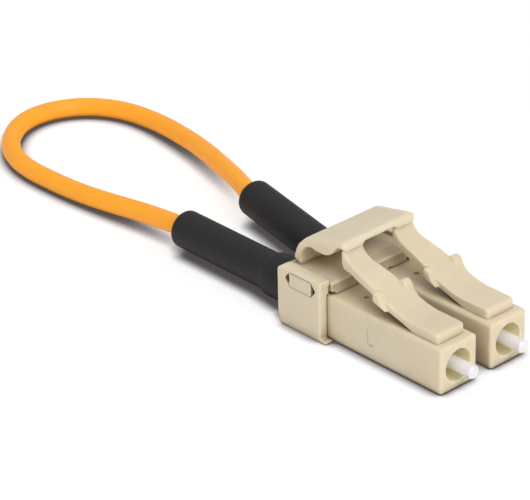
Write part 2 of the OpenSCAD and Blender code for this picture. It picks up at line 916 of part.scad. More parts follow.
clip_base();
clip_cover();
trigger();
housing(side_a);  // housing_a
housing(side_b);  // housing_b
latch(side_a);  // latch_a
latch(side_b);  // latch_b
ferrule(side_a);  // ferrule_a
ferrule(side_b);  // ferrule_b
flange(side_a);  // flange_a
flange(side_b);  // flange_b
guide(side_a);  // guide_a
guide(side_b);  // guide_b
spring(side_a);  // spring_a
spring(side_b);  // spring_b
backbone(side_a);  // backbone_a
backbone(side_b);  // backbone_b
crimp(side_a);  // crimp_a
crimp(side_b);  // crimp_b
sleeve(side_a, 0, 0);  // sleeve_a
sleeve(side_b, sleeve_yaw, sleeve_pitch);  // sleeve_b
fibre_loop();
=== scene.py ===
# %% [markdown]
# # A fibre loopback plug
# A loopback plug sends a port's own light back into it: two small square plugs
# sit side by side in a clip, and one short cable runs from the first plug round
# to the second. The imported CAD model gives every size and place. This lesson
# gives it soft moulded edges, materials, light and a camera.

# %% Load the frame and keep its box
import json
import math

import bmesh
import bpy
from mathutils import Matrix, Vector
from mathutils.geometry import interpolate_bezier

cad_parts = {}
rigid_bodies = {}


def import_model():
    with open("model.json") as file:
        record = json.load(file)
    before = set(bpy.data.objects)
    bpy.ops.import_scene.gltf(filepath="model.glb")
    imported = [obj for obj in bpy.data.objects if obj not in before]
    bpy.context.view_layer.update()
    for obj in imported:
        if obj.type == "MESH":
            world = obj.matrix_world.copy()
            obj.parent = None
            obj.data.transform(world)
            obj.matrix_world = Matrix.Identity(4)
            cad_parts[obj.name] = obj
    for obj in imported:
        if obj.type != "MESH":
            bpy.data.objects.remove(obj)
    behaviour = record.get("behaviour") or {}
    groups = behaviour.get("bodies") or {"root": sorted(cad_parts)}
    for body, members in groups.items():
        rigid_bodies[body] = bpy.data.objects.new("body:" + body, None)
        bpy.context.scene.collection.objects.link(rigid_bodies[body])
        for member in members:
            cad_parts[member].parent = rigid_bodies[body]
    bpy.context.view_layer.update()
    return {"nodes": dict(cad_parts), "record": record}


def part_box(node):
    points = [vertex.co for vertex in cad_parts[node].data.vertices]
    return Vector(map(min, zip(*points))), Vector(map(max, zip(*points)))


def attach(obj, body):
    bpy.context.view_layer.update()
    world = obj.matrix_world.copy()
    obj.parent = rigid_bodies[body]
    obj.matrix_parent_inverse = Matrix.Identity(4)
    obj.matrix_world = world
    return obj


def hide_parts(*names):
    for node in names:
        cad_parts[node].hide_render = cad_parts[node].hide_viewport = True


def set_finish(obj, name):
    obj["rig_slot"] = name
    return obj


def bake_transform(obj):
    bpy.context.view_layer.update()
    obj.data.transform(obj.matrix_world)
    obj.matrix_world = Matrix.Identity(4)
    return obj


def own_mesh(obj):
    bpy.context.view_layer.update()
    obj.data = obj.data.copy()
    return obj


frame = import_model()
MM = 0.001

# %% [markdown]
# ## Camera
# A small part is seen from well away with a long lens, so its edges stay almost
# parallel. The camera stands on a line from a target point, given by its
# azimuth and elevation, and leans a little to one side.

# %% Camera
TARGET = Vector((-3.2, 0.625, 3.0)) * MM
DISTANCE = 260.04 * MM
AZIMUTH, ELEVATION, ROLL = (math.radians(a) for a in (46.45, 28.49, -0.62))
LENS = 193.65
SHIFT = (-0.1214, 0.0266)

back = Vector((
    math.sin(AZIMUTH) * math.cos(ELEVATION),
    -math.cos(AZIMUTH) * math.cos(ELEVATION),
    math.sin(ELEVATION),
))
level = Vector((math.cos(AZIMUTH), math.sin(AZIMUTH), 0))
right = Matrix.Rotation(ROLL, 3, back) @ level
camera_data = bpy.data.cameras.new("camera")
camera_data.sensor_width = 36
camera_data.lens = LENS
camera_data.shift_x, camera_data.shift_y = SHIFT
camera_data.clip_start, camera_data.clip_end = 0.01, 20
camera = bpy.data.objects.new("camera", camera_data)
bpy.context.scene.collection.objects.link(camera)
place = Matrix((right, back.cross(right), back)).transposed().to_4x4()
place.translation = TARGET + back * DISTANCE
camera.matrix_world = place
bpy.context.scene.camera = camera
print("camera at", [round(v / MM, 1) for v in camera.location])

# %% [markdown]
# ## The cable loop
# The cable leaves one sleeve, sinks to the table, turns round in one bend and climbs back into
# the other sleeve. It is one smooth curve through listed points. A curve with a round bevel keeps
# the same thickness everywhere, and its own line is the cable's length.

# %% Cable loop
CABLE_D = 1.9
SLEEVE_X, BEND_X = -2.85, -6.5
SLEEVE_L = 16.2
BEND_L = SLEEVE_L - (SLEEVE_X - BEND_X)  # from the bend to the sleeve's end
PLUG_Y, AXIS_Z = 3.125, 2.25
YAW, PITCH = math.radians(11), math.radians(1)
WAY_A = Vector((-1, 0, 0))
WAY_B = Vector((
    -math.cos(YAW) * math.cos(PITCH), math.sin(YAW) * math.cos(PITCH), math.sin(PITCH)
))
END_A = Vector((BEND_X, -PLUG_Y, AXIS_Z)) + WAY_A * BEND_L
END_B = Vector((BEND_X, PLUG_Y, AXIS_Z)) + WAY_B * BEND_L
TUCK = 1.2  # the cable starts this far inside each sleeve
PATH_STEPS = 10  # points that stand for the route between two knots
ROUTE = [
    END_A - WAY_A * TUCK, END_A,
    (-20.4, -3.1, 2.15), (-22.9, -3.1, 1.9), (-25.4, -3.2, 1.65),
    (-29.3, -3.6, 1.3), (-33.4, -4, 1.05), (-37.7, -4.2, 0.97),
    (-41.4, -4.1, 0.96), (-44, -3.5, 0.96), (-46.5, -2.2, 0.96),
    (-48.5, -0.3, 0.96), (-49.8, 1.9, 0.96), (-50.2, 4.4, 0.96),
    (-49.6, 6.9, 0.96), (-48.1, 9.1, 0.96), (-46.2, 10.5, 0.96),
    (-44, 11.3, 0.98), (-41.2, 11.6, 1.05), (-38.5, 11.4, 1.25),
    (-35.8, 11, 1.4), (-31.8, 10.1, 1.7), (-26.2, 8.3, 2.1),
    (-22.7, 7, 2.35),
    END_B, END_B - WAY_B * TUCK,
]

cable_data = bpy.data.curves.new("cable_line", "CURVE")
cable_data.dimensions = "3D"
cable_data.bevel_depth = CABLE_D / 2 * MM
cable_data.bevel_resolution = 8
cable_data.resolution_u = 10
cable_data.use_fill_caps = True
spline = cable_data.splines.new("BEZIER")
spline.bezier_points.add(len(ROUTE) - 1)
for knot, point in zip(spline.bezier_points, ROUTE):
    knot.co = Vector(point) * MM
    knot.handle_left_type = knot.handle_right_type = "AUTO"
cable_line = bpy.data.objects.new("cable_line", cable_data)
bpy.context.scene.collection.objects.link(cable_line)
graph = bpy.context.evaluated_depsgraph_get()
tube = bpy.data.meshes.new_from_object(cable_line.evaluated_get(graph))
path = []
for first, second in zip(spline.bezier_points, spline.bezier_points[1:]):
    path += interpolate_bezier(
        first.co, first.handle_right, second.handle_left, second.co, PATH_STEPS + 1
    )[:-1]
path.append(spline.bezier_points[-1].co.copy())
bpy.data.objects.remove(cable_line)

cable = bpy.data.objects.new("cable_loop", tube)
bpy.context.scene.collection.objects.link(cable)
cable.data.shade_smooth()
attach(cable, "clip")
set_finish(cable, "cable_jacket")
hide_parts("fibre_loop")

# %% [markdown]
# ## How the moulded pieces get their soft edges
# The plugs, arms, clip and trigger are injection moulded, and none of their
# edges is sharp: the plastic flows round a radius of 0.2 to 0.4 mm. A bevel on
# each edge would have to stop where a curved outline is finely stepped. Here a
# copy of the CAD solid is rebuilt from small cubes of space (a voxel remesh),
# and its vertices are then evened out a few times. That rounds every edge and
# fills every inner corner with a fillet, as a mould does.
# The remesh works in millimetres, because it can't go below 0.1 mm in metres.

# %% Helpers for moulded pieces
def merged_copy(*nodes):
    """One bmesh, in millimetres, holding copies of these CAD nodes."""
    bm = bmesh.new()
    for node in nodes:
        bm.from_mesh(frame["nodes"][node].data)
    bmesh.ops.remove_doubles(bm, verts=bm.verts, dist=1e-7)
    bmesh.ops.scale(bm, vec=(1 / MM,) * 3, verts=bm.verts)
    return bm


def trimmed(bm, point, normal):
    """Cuts off what lies on the normal's side of a plane, and closes the cut."""
    geometry = bm.verts[:] + bm.edges[:] + bm.faces[:]
    cut = bmesh.ops.bisect_plane(
        bm, geom=geometry, dist=1e-5, plane_co=point, plane_no=normal, clear_outer=True
    )
    rim = [e for e in cut["geom_cut"] if isinstance(e, bmesh.types.BMEdge)]
    bmesh.ops.holes_fill(bm, edges=rim, sides=0)


def filled(bm, low, high):
    """Lays a solid block into the bmesh: the remesh joins it to what it touches."""
    size = Vector(high) - Vector(low)
    middle = (Vector(high) + Vector(low)) / 2
    bmesh.ops.create_cube(
        bm, size=1, matrix=Matrix.Translation(middle) @ Matrix.Diagonal((*size, 1))
    )


def as_object(bm, name):
    """Turns a bmesh into an object of that name."""
    mesh = bpy.data.meshes.new(name)
    bm.to_mesh(mesh)
    bm.free()
    piece = bpy.data.objects.new(name, mesh)
    bpy.context.scene.collection.objects.link(piece)
    return piece


def finished_mesh(piece):
    """Applies the piece's modifiers: the new mesh replaces the old one."""
    graph = bpy.context.evaluated_depsgraph_get()
    mesh = bpy.data.meshes.new_from_object(piece.evaluated_get(graph))
    piece.modifiers.clear()
    old, piece.data = piece.data, mesh
    bpy.data.meshes.remove(old)


def moulded(bm, name, rounds, voxel=0.07, keep=0.5, cutters=()):
    """A soft-edged piece from a bmesh in millimetres, brought back to metres."""
    piece = as_object(bm, name)
    remesh = piece.modifiers.new("remesh", "REMESH")
    remesh.mode = "VOXEL"
    remesh.voxel_size = voxel
    finished_mesh(piece)
    for cutter in cutters:
        tool = as_object(cutter, "cutter")
        carve = piece.modifiers.new("carve", "BOOLEAN")
        carve.operation = "DIFFERENCE"
        carve.object = tool
        finished_mesh(piece)
        bpy.data.objects.remove(tool)
    soft = bmesh.new()
    soft.from_mesh(piece.data)
    for _ in range(rounds):
        bmesh.ops.smooth_vert(
            soft, verts=soft.verts, factor=0.5,
            use_axis_x=True, use_axis_y=True, use_axis_z=True,
        )
    bmesh.ops.scale(soft, vec=(MM,) * 3, verts=soft.verts)
    soft.to_mesh(piece.data)
    soft.free()
    thin = piece.modifiers.new("thin", "DECIMATE")
    thin.ratio = keep
    finished_mesh(piece)
    piece.data.shade_smooth()
    print(name, "has", len(piece.data.polygons), "faces")
    return piece


# %% [markdown]
# ## Plug housings
# Each housing is a square tube with a round bore in front. The latch arm's pad belongs to the
# same moulding, but it is made with the arm further on, so that pad and arm are one piece without
# a seam. A plane trims it off the copy. Blocks close the side windows, and a small L is cut into
# each side wall.

# %% Plug housings
HOUSING_TOP = 4.5
PLUG_HALF = HOUSING_TOP / 2
WINDOW_DEPTH = 0.5
WINDOW_X, WINDOW_Z = (7.6, 9.3), (1.55, 2.95)
MARK_X, MARK_Z, MARK_L, MARK_W = 7.72, (1.45, 3.05), 0.8, 0.2
FOOT_DEPTH, STEM_DEPTH = 0.28, 0.24
GATE_X, GATE_R, GATE_DEPTH = 5.5, 0.24, 0.6
SLIT = 0.001  # keeps two cuts from sharing a face
for side, sign in (("a", -1), ("b", 1)):
    middle = sign * PLUG_Y
    bm = merged_copy("housing_" + side)
    trimmed(bm, (0, 0, HOUSING_TOP + SLIT), (0, 0, 1))
    cuts = bmesh.new()
    bmesh.ops.create_cone(
        cuts, cap_ends=True, segments=24, radius1=GATE_R, radius2=GATE_R, depth=GATE_DEPTH,
        matrix=Matrix.Translation((GATE_X, middle, HOUSING_TOP)),
    )
    for wall in (middle - PLUG_HALF, middle + PLUG_HALF):
        inner = wall + (WINDOW_DEPTH if wall < middle else -WINDOW_DEPTH)
        low_y, high_y = min(wall, inner), max(wall, inner)
        filled(bm, (WINDOW_X[0], low_y, WINDOW_Z[0]), (WINDOW_X[1], high_y, WINDOW_Z[1]))
        filled(
            cuts, (MARK_X, wall - STEM_DEPTH, MARK_Z[0]),
            (MARK_X + MARK_W, wall + STEM_DEPTH, MARK_Z[1]),
        )
        filled(
            cuts, (MARK_X + MARK_W + SLIT, wall - FOOT_DEPTH, MARK_Z[0]),
            (MARK_X + MARK_L, wall + FOOT_DEPTH, MARK_Z[0] + MARK_W),
        )
    housing = moulded(bm, "plug_" + side, rounds=4, keep=0.4, cutters=[cuts])
    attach(housing, "clip")
    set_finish(housing, "plug_plastic")
    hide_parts("housing_" + side)

# %% [markdown]
# ## Backbones
# A backbone closes each housing from behind, and its two snap tabs sit in the
# side windows. The housing's copy above already has those windows closed, so
# the tabs are trimmed off the backbone's copy and no two faces share a place.

# %% Backbones
TAB_Y = 1.85
for side, sign in (("a", -1), ("b", 1)):
    bm = merged_copy("backbone_" + side)
    trimmed(bm, (0, sign * PLUG_Y + TAB_Y, 0), (0, 1, 0))
    trimmed(bm, (0, sign * PLUG_Y - TAB_Y, 0), (0, -1, 0))
    bmesh.ops.scale(bm, vec=(MM,) * 3, verts=bm.verts)
    backbone = as_object(bm, "plug_backbone_" + side)
    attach(backbone, "clip")
    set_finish(backbone, "plug_plastic")
    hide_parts("backbone_" + side)
print("backbones: trimmed to", 2 * TAB_Y, "mm across")

# %% [markdown]
# ## Springs
# A pushed ferrule squeezes its spring by half a millimetre towards the far end of its pocket.
# Here the spring is a plain copy of the CAD coil.

# %% Springs
for side in ("a", "b"):
    low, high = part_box("spring_" + side)
    bm = merged_copy("spring_" + side)
    bmesh.ops.scale(bm, vec=(MM,) * 3, verts=bm.verts)
    spring = as_object(bm, "coil_spring_" + side)
    spring.data.shade_smooth()
    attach(spring, "clip")
    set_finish(spring, "spring_steel")
    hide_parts("spring_" + side)
    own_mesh(spring)

# %% [markdown]
# ## Latch arms
# A latch arm is one springy strip from its pad to its upturned tail, with two ears that catch
# behind the port's edge. The pad's block and the arm are laid into one bmesh, and the remesh
# joins them.

# %% Latch arms
ROOT_X, PAD_FRONT, PAD_HALF, PAD_SUNK = 12.5, 15.85, 1.7, 0.25
for side, sign in (("a", -1), ("b", 1)):
    pad = merged_copy("housing_" + side)
    trimmed(pad, (0, 0, HOUSING_TOP - PAD_SUNK), (0, 0, -1))
    trimmed(pad, (0, sign * PLUG_Y + PAD_HALF, 0), (0, 1, 0))
    trimmed(pad, (0, sign * PLUG_Y - PAD_HALF, 0), (0, -1, 0))
    trimmed(pad, (PAD_FRONT, 0, 0), (1, 0, 0))
    trimmed(pad, (ROOT_X + 0.1, 0, 0), (-1, 0, 0))
    pad_mesh = bpy.data.meshes.new("pad")
    pad.to_mesh(pad_mesh)
    pad.free()
    bm = merged_copy("latch_" + side)
    bm.from_mesh(pad_mesh)
    bpy.data.meshes.remove(pad_mesh)
    arm = moulded(bm, "latch_arm_" + side, rounds=18, voxel=0.06, keep=0.6)
    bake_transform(arm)
    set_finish(arm, "plug_plastic")
    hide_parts("latch_" + side)

# %% [markdown]
# ## Clip base
# The clip is a base with two side walls and a cover whose lugs snap into the
# side windows. Blocks are laid into the base's copy: a small nub at the front of
# each wall's top, a back for each window, and a fill that leaves only a shallow
# groove where the wall meets the plug.

# %% Clip base
CLIP_FRONT, CLIP_TOP = 2.8, 5.95
OUTER_Y, INNER_Y = 6.325, 5.18
NUB_X, NUB_Z, NUB_PROUD = 2.2, 5.35, 0.1
BACKING_X, BACKING_Y, BACKING_Z = (-1.32, 1.62), (5.6, 6.14), (4.0, 5.7)
JOINT_X, JOINT_Y, JOINT_Z = 2.0, (5.355, 5.5), (0.1, 4.4)
GROOVE = 0.08

base = merged_copy("clip_base")
for low_y, high_y in ((-OUTER_Y, -INNER_Y), (INNER_Y, OUTER_Y)):
    filled(base, (NUB_X, low_y, NUB_Z), (CLIP_FRONT + NUB_PROUD, high_y, CLIP_TOP))
for sign in (-1, 1):
    wall = sorted(sign * y for y in BACKING_Y)
    filled(base, (BACKING_X[0], wall[0], BACKING_Z[0]), (BACKING_X[1], wall[1], BACKING_Z[1]))
    joint = sorted(sign * y for y in JOINT_Y)
    filled(base, (JOINT_X, joint[0], JOINT_Z[0]), (CLIP_FRONT - GROOVE, joint[1], JOINT_Z[1]))
print("clip base:", len(base.faces), "faces before the remesh")

# %% [markdown]
# ## Clip cover
# The cover's deck lies a little lower than the walls, and its front skirt hangs
# down to the plugs. A cutter takes the deck down to its height and opens small
# notches along the skirt's foot, which show as dark spots.

# %% Clip cover
COVER_Y, DECK_Z = 5.1, 5.58
SKIRT_BACK, SKIRT_X, SKIRT_Z = 2.3, 3.12, 4.55
SKIRT_FOOT = (4.48, 4.7)
HINGE_X, FOOT_Y = -1.65, 4.525
SLOT_HALF, SLOT_Z, SLOT_SIDE = 0.7, 5.0, 0.1
DECK_BACK, NOTCH_DEPTH, NOTCH_BELOW = 0.55, 0.5, 0.3
NOTCHES = (  # place across the clip, half width, height
    (-4.95, 0.22, 0.28), (-1.96, 0.15, 0.2), (1.98, 0.1, 0.12), (4.3, 0.18, 0.22),
)
PAST_X, PAST_Y, PAST_Z = 4, 6, 7  # where the cutters end, well outside the clip

cover = merged_copy("clip_cover")
filled(cover, (SKIRT_BACK, -COVER_Y, SKIRT_FOOT[0]), (SKIRT_X - GROOVE, COVER_Y, SKIRT_FOOT[1]))
filled(cover, (SKIRT_BACK, -COVER_Y, SKIRT_Z), (SKIRT_X, COVER_Y, DECK_Z))
filled(
    cover, (HINGE_X - SLOT_HALF, -FOOT_Y - SLOT_SIDE, SLOT_Z),
    (HINGE_X + SLOT_HALF, FOOT_Y + SLOT_SIDE, DECK_Z),
)
lowered = bmesh.new()
filled(lowered, (HINGE_X - DECK_BACK, -PAST_Y, DECK_Z), (PAST_X, PAST_Y, PAST_Z))
for y, half, high in NOTCHES:
    filled(
        lowered, (SKIRT_X - NOTCH_DEPTH, y - half, SKIRT_Z - NOTCH_BELOW),
        (PAST_X, y + half, SKIRT_Z + high),
    )
print("clip cover:", len(NOTCHES), "notches at the skirt's foot")

# %% [markdown]
# ## Trigger
# The trigger is one bent lever: a foot, a back wall that turns over into the
# top, and a wide lip over both latch tails. Two pads thicken the lip and reach
# slightly into the tails, so no dark gap shows there. Three planes round the
# back corner outside, and a cylinder hollows it inside.

# %% Trigger
FOOT_FRONT, FOOT_Z = -1.42, (5.4, 6.1)
HOLLOW_R, HOLLOW_Z, HOLLOW_FRONT, HOLLOW_LOW = 1.4, 6.19, 0.3, 4.5
FOOT_HALF, CORNER_IN = 0.5, 0.2
LIP_X, LIP_HALF, LIP_Z = (3.45, 4.08), 1.12, (8.72, 9.2)
CORNER_Z, CORNER_X = (6.0, 7.8), -0.1
BACK_PLANES = (  # a point of each plane, and the way it faces
    ((-2.13, 0, 7.0), (-0.876, 0, 0.482)),
    ((-1.8, 0, 7.6), (-0.711, 0, 0.703)),
    ((-1.01, 0, 8.4), (-0.537, 0, 0.843)),
)

lever = merged_copy("trigger")
for y in (-PLUG_Y, PLUG_Y):
    filled(lever, (LIP_X[0], y - LIP_HALF, LIP_Z[0]), (LIP_X[1], y + LIP_HALF, LIP_Z[1]))
filled(lever, (HINGE_X - FOOT_HALF, -FOOT_Y, FOOT_Z[0]), (FOOT_FRONT, FOOT_Y, FOOT_Z[1]))
filled(lever, (FOOT_FRONT - CORNER_IN, -FOOT_Y, CORNER_Z[0]), (CORNER_X, FOOT_Y, CORNER_Z[1]))
for corner, way in BACK_PLANES:
    trimmed(lever, corner, way)
thinned = bmesh.new()
filled(thinned, (FOOT_FRONT, -PAST_Y, HOLLOW_LOW), (HOLLOW_FRONT, PAST_Y, HOLLOW_Z))
rounded = bmesh.new()
bmesh.ops.create_cone(
    rounded, cap_ends=True, segments=48, radius1=HOLLOW_R, radius2=HOLLOW_R,
    depth=2 * PAST_Y,
    matrix=Matrix.Translation((FOOT_FRONT + HOLLOW_R, 0, HOLLOW_Z))
    @ Matrix.Rotation(math.pi / 2, 4, "X"),
)
print("trigger: hollow of radius", HOLLOW_R, "mm behind the top")

# %% [markdown]
# ## Moulding the three
# Base and cover have crisp edges, so they get few rounds of smoothing. The
# lever has a broad curve everywhere and gets many.

# %% Moulding the clip and the trigger
for name, node, body, bm, rounds, cutters in (
    ("clip_body", "clip_base", "clip", base, 4, []),
    ("clip_deck", "clip_cover", "clip", cover, 3, [lowered]),
    ("press_trigger", "trigger", "trigger", lever, 18, [thinned, rounded]),
):
    piece = moulded(bm, name, rounds, cutters=cutters)
    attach(piece, body)
    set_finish(piece, "clip_plastic")
    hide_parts(node)

# %% [markdown]
# ## Sleeves
# The rubber sleeves are turned shapes: a bulge over the crimp ring and a long
# tube with a rounded rim. Half of the outline is spun round the axis. The second
# sleeve is spun straight too and then bent behind its bulge.

# %% Sleeves
BULGE_R, TUBE_R, HOLE_R = 2.125, 1.825, 0.93
OUTLINE = [
    (0.0, 1.5), (0.0, 1.95), (0.05, 2.06), (0.18, BULGE_R), (1.0, BULGE_R),
    (2.0, BULGE_R), (3.1, BULGE_R), (3.4, 2.1), (3.6, 2.02), (3.75, 1.93),
    (3.95, 1.86), (4.3, TUBE_R), (5.0, TUBE_R),
]
OUTLINE += [(5.5 + 0.5 * i, TUBE_R) for i in range(20)]
OUTLINE += [
    (15.6, TUBE_R), (15.8, TUBE_R), (15.95, 1.79), (16.08, 1.7), (16.17, 1.57),
    (SLEEVE_L, 1.42), (SLEEVE_L, 1.1), (16.17, 1.0), (16.08, HOLE_R), (15.8, 0.92),
    (15.0, 0.92),
]


def sleeve(name, y, way):
    """Spins the outline, then turns what lies behind the bulge towards way."""
    bm = bmesh.new()
    verts = [
        bm.verts.new((SLEEVE_X - along, y, AXIS_Z + radius)) for along, radius in OUTLINE
    ]
    for first, second in zip(verts, verts[1:]):
        bm.edges.new((first, second))
    bmesh.ops.spin(
        bm, geom=bm.verts[:] + bm.edges[:], cent=(0, y, AXIS_Z), axis=(1, 0, 0),
        angle=math.tau, steps=64, use_merge=True,
    )
    bmesh.ops.holes_fill(bm, edges=[e for e in bm.edges if e.is_boundary], sides=0)
    bend_from, bend_to = BEND_X + 0.6, BEND_X - 1.4
    for v in bm.verts:
        share = min(max((bend_from - v.co.x) / (bend_from - bend_to), 0), 1)
        share = share * share * (3 - 2 * share)
        turn = WAY_A.rotation_difference(way)
        turn = Matrix.Identity(3).to_quaternion().slerp(turn, share)
        pivot = Vector((BEND_X, y, AXIS_Z))
        v.co = pivot + turn @ (v.co - pivot)
    bmesh.ops.recalc_face_normals(bm, faces=bm.faces)
    bmesh.ops.scale(bm, vec=(MM,) * 3, verts=bm.verts)
    piece = as_object(bm, name)
    piece.data.shade_smooth()
    print(name, "has", len(piece.data.polygons), "faces")
    return piece


for side, sign, way in (("a", -1, WAY_A), ("b", 1, WAY_B)):
    piece = sleeve("rubber_sleeve_" + side, sign * PLUG_Y, way)
    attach(piece, "clip")
    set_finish(piece, "sleeve_rubber")
    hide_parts("sleeve_" + side)

# %% [markdown]
# ## Materials
# Every colour is written as an sRGB hex value, and one function turns it into
# the linear numbers that a shader works with. One small function adds a node,
# sets its inputs and links what it is given.

# %% Material helpers
def linear(hex_colour):
    """Linear RGBA of an sRGB colour such as "#E6D7BC"."""
    parts = [int(hex_colour[i:i + 2], 16) / 255 for i in (1, 3, 5)]
    return [p / 12.92 if p <= 0.04045 else ((p + 0.055) / 1.055) ** 2.4 for p in parts] + [1]


def add(tree, kind, settings=None, **inputs):
    """Adds a node: settings are its own fields, inputs are values or sockets."""
    node = tree.nodes.new(kind)
    for field, value in (settings or {}).items():
        setattr(node, field, value)
    for name, value in inputs.items():
        key = int(name[1:]) if name[1:].isdigit() else name.replace("_", " ")
        socket = node.inputs[key]
        if isinstance(value, bpy.types.NodeSocket):
            tree.links.new(value, socket)
        else:
            socket.default_value = value
    return node


def new_material(name):
    """An empty material with its tree, its Principled shader and Object coordinates."""
    material = bpy.data.materials.new(name)
    material.use_nodes = True
    tree = material.node_tree
    shader = tree.nodes["Principled BSDF"]
    place = add(tree, "ShaderNodeTexCoord").outputs["Object"]
    return material, tree, shader, place


def per_mm(size):
    """A texture scale whose features are that many millimetres wide."""
    return 1 / (size * MM)


# %% [markdown]
# ### Moulded cream plastic
# Both plastics are injection-moulded: the clip in ABS, the plugs in a slightly warmer polyester.
# The mould's fine spark-eroded texture spreads highlights, the colour drifts a little where the
# melt flowed, and light enters a fraction of a millimetre, which keeps the shadows warm. Corners
# and the skirt's front get painted shade, a browner tint, and the bores get painted light, a
# lighter one.

# %% Moulded plastics
BORE_R = 1.56  # just over the bore, whose thin walls let light in
BORE_FADE = (0.02, 0.12)  # mm past that radius over which the light goes
MELT, SPECK, SPARK = 4, 0.45, 0.16  # mm between flow marks, specks, grains
CREAM = ("#E8DABF", "#E2D3B6")
BEIGE = ("#E7D8BC", "#DFD0B1")
# Brown painted shade for corners, and cream painted light for the bores.
PAINTED_SHADE_BROWN, PAINTED_BORE_LIGHT = "#7D663A", "#FFF1CE"
# How much light is left where a shadow is painted on the skirt's front.
SHADOW_BAND_DIM = 0.55  # openness left on the skirt's front


def openness(tree, parts, reach, open_from, painted_shadow_band):
    """From 0 in a corner to 1 in the open, for painted corner shade. The last argument gives x
    and z of a band of painted shadow.
    """
    nook = add(tree, "ShaderNodeAmbientOcclusion", {"samples": 12}, Distance=reach * MM)
    depth = add(
        tree, "ShaderNodeMapRange", _0=nook.outputs["AO"], _1=0.1, _2=open_from, _3=0.0, _4=1.0
    )
    if not painted_shadow_band:
        return depth.outputs[0]
    front_x, top_z = painted_shadow_band
    behind = add(
        tree, "ShaderNodeMapRange", _0=parts.outputs["X"],
        _1=(front_x - 0.1) * MM, _2=front_x * MM, _3=1.0, _4=SHADOW_BAND_DIM,
    )
    over = add(
        tree, "ShaderNodeMapRange", _0=parts.outputs["Z"],
        _1=(top_z - 0.15) * MM, _2=top_z * MM, _3=SHADOW_BAND_DIM, _4=1.0,
    )
    lit = add(
        tree, "ShaderNodeMath", {"operation": "MAXIMUM"},
        _0=behind.outputs[0], _1=over.outputs[0],
    )
    dimmed = add(
        tree, "ShaderNodeMath", {"operation": "MULTIPLY"},
        _0=depth.outputs[0], _1=lit.outputs[0],
    )
    return dimmed.outputs[0]


def in_bore(tree, parts):
    """1 inside either plug's bore and 0 outside it."""
    across = add(tree, "ShaderNodeMath", {"operation": "ABSOLUTE"}, _0=parts.outputs["Y"])
    aside = add(
        tree, "ShaderNodeMath", {"operation": "SUBTRACT"}, _0=across.outputs[0], _1=PLUG_Y * MM
    )
    above = add(
        tree, "ShaderNodeMath", {"operation": "SUBTRACT"}, _0=parts.outputs["Z"], _1=AXIS_Z * MM
    )
    from_axis = add(
        tree, "ShaderNodeCombineXYZ", X=aside.outputs[0], Y=above.outputs[0]
    )
    radius = add(
        tree, "ShaderNodeVectorMath", {"operation": "LENGTH"}, _0=from_axis.outputs[0]
    )
    near, far = ((BORE_R + fade) * MM for fade in BORE_FADE)
    inside = add(
        tree, "ShaderNodeMapRange", _0=radius.outputs["Value"],
        _1=near, _2=far, _3=1.0, _4=0.0,
    )
    return inside.outputs[0]


def moulded_plastic(name, colours, rough, shade, painted_shadow_band=()):
    """shade is the reach in mm and the openness below which corners take painted shade."""
    material, tree, shader, place = new_material(name)
    light, dark = colours
    flow = add(
        tree, "ShaderNodeTexNoise", Vector=place, Scale=per_mm(MELT), Detail=3.0, Roughness=0.55
    )
    speck = add(
        tree, "ShaderNodeTexNoise", Vector=place, Scale=per_mm(SPECK), Detail=2.0, Roughness=0.6
    )
    blotch = add(
        tree, "ShaderNodeMath", {"operation": "MULTIPLY_ADD"},
        _0=speck.outputs["Fac"], _1=0.35, _2=flow.outputs["Fac"],
    )
    tint = add(
        tree, "ShaderNodeMapRange", _0=blotch.outputs[0], _1=0.45, _2=0.95, _3=0.0, _4=1.0
    )
    mix = add(
        tree, "ShaderNodeMix", {"data_type": "RGBA"},
        _0=tint.outputs[0], _6=linear(dark), _7=linear(light),
    )
    parts = add(tree, "ShaderNodeSeparateXYZ", Vector=place)
    # Painted shade: corners, and the cover's skirt band, turn towards brown.
    corner = add(
        tree, "ShaderNodeMix", {"data_type": "RGBA"},
        _0=openness(tree, parts, *shade, painted_shadow_band), _6=linear(PAINTED_SHADE_BROWN), _7=mix.outputs[2],
    )
    # Painted light: the bores turn lighter, for the light that comes in through their thin walls.
    bore_painted_light = add(
        tree, "ShaderNodeMix", {"data_type": "RGBA"},
        _0=in_bore(tree, parts), _6=corner.outputs[2], _7=linear(PAINTED_BORE_LIGHT),
    )
    tree.links.new(bore_painted_light.outputs[2], shader.inputs["Base Color"])
    gloss = add(
        tree, "ShaderNodeMapRange", _0=speck.outputs["Fac"], _1=0.3, _2=0.7,
        _3=rough - 0.05, _4=rough + 0.07,
    )
    tree.links.new(gloss.outputs[0], shader.inputs["Roughness"])
    grain = add(tree, "ShaderNodeTexNoise", Vector=place, Scale=per_mm(SPARK), Detail=2.0)
    bump = add(
        tree, "ShaderNodeBump", Height=grain.outputs["Fac"], Strength=0.12, Distance=0.02 * MM
    )
    tree.links.new(bump.outputs[0], shader.inputs["Normal"])
    shader.inputs["IOR"].default_value = 1.6
    shader.inputs["Subsurface Weight"].default_value = 0.55
    shader.inputs["Subsurface Radius"].default_value = (1.0, 0.85, 0.6)
    shader.inputs["Subsurface Scale"].default_value = 1.0 * MM
    return material


# The band on the skirt's front where the shadow under the arms and trigger is painted.
SKIRT_SHADOW_BAND = (SKIRT_X - 0.4, DECK_Z)
clip_abs = moulded_plastic("moulded_abs_cream", CREAM, 0.42, (2.2, 0.68))
cover_abs_painted_shadow = moulded_plastic("moulded_abs_cover", CREAM, 0.42, (2.4, 0.71), SKIRT_SHADOW_BAND)
plug_polyester = moulded_plastic("moulded_polyester_beige", BEIGE, 0.38, (2.4, 0.66))
print("plastics:", clip_abs.name, cover_abs_painted_shadow.name, plug_polyester.name)

# %% [markdown]
# ### Black sleeve rubber, orange jacket
# The sleeves are moulded thermoplastic rubber: nearly black, with broad soft
# highlights. The jacket is extruded, so it is smoother, with a fine uneven skin,
# and a little emission keeps its orange bright.

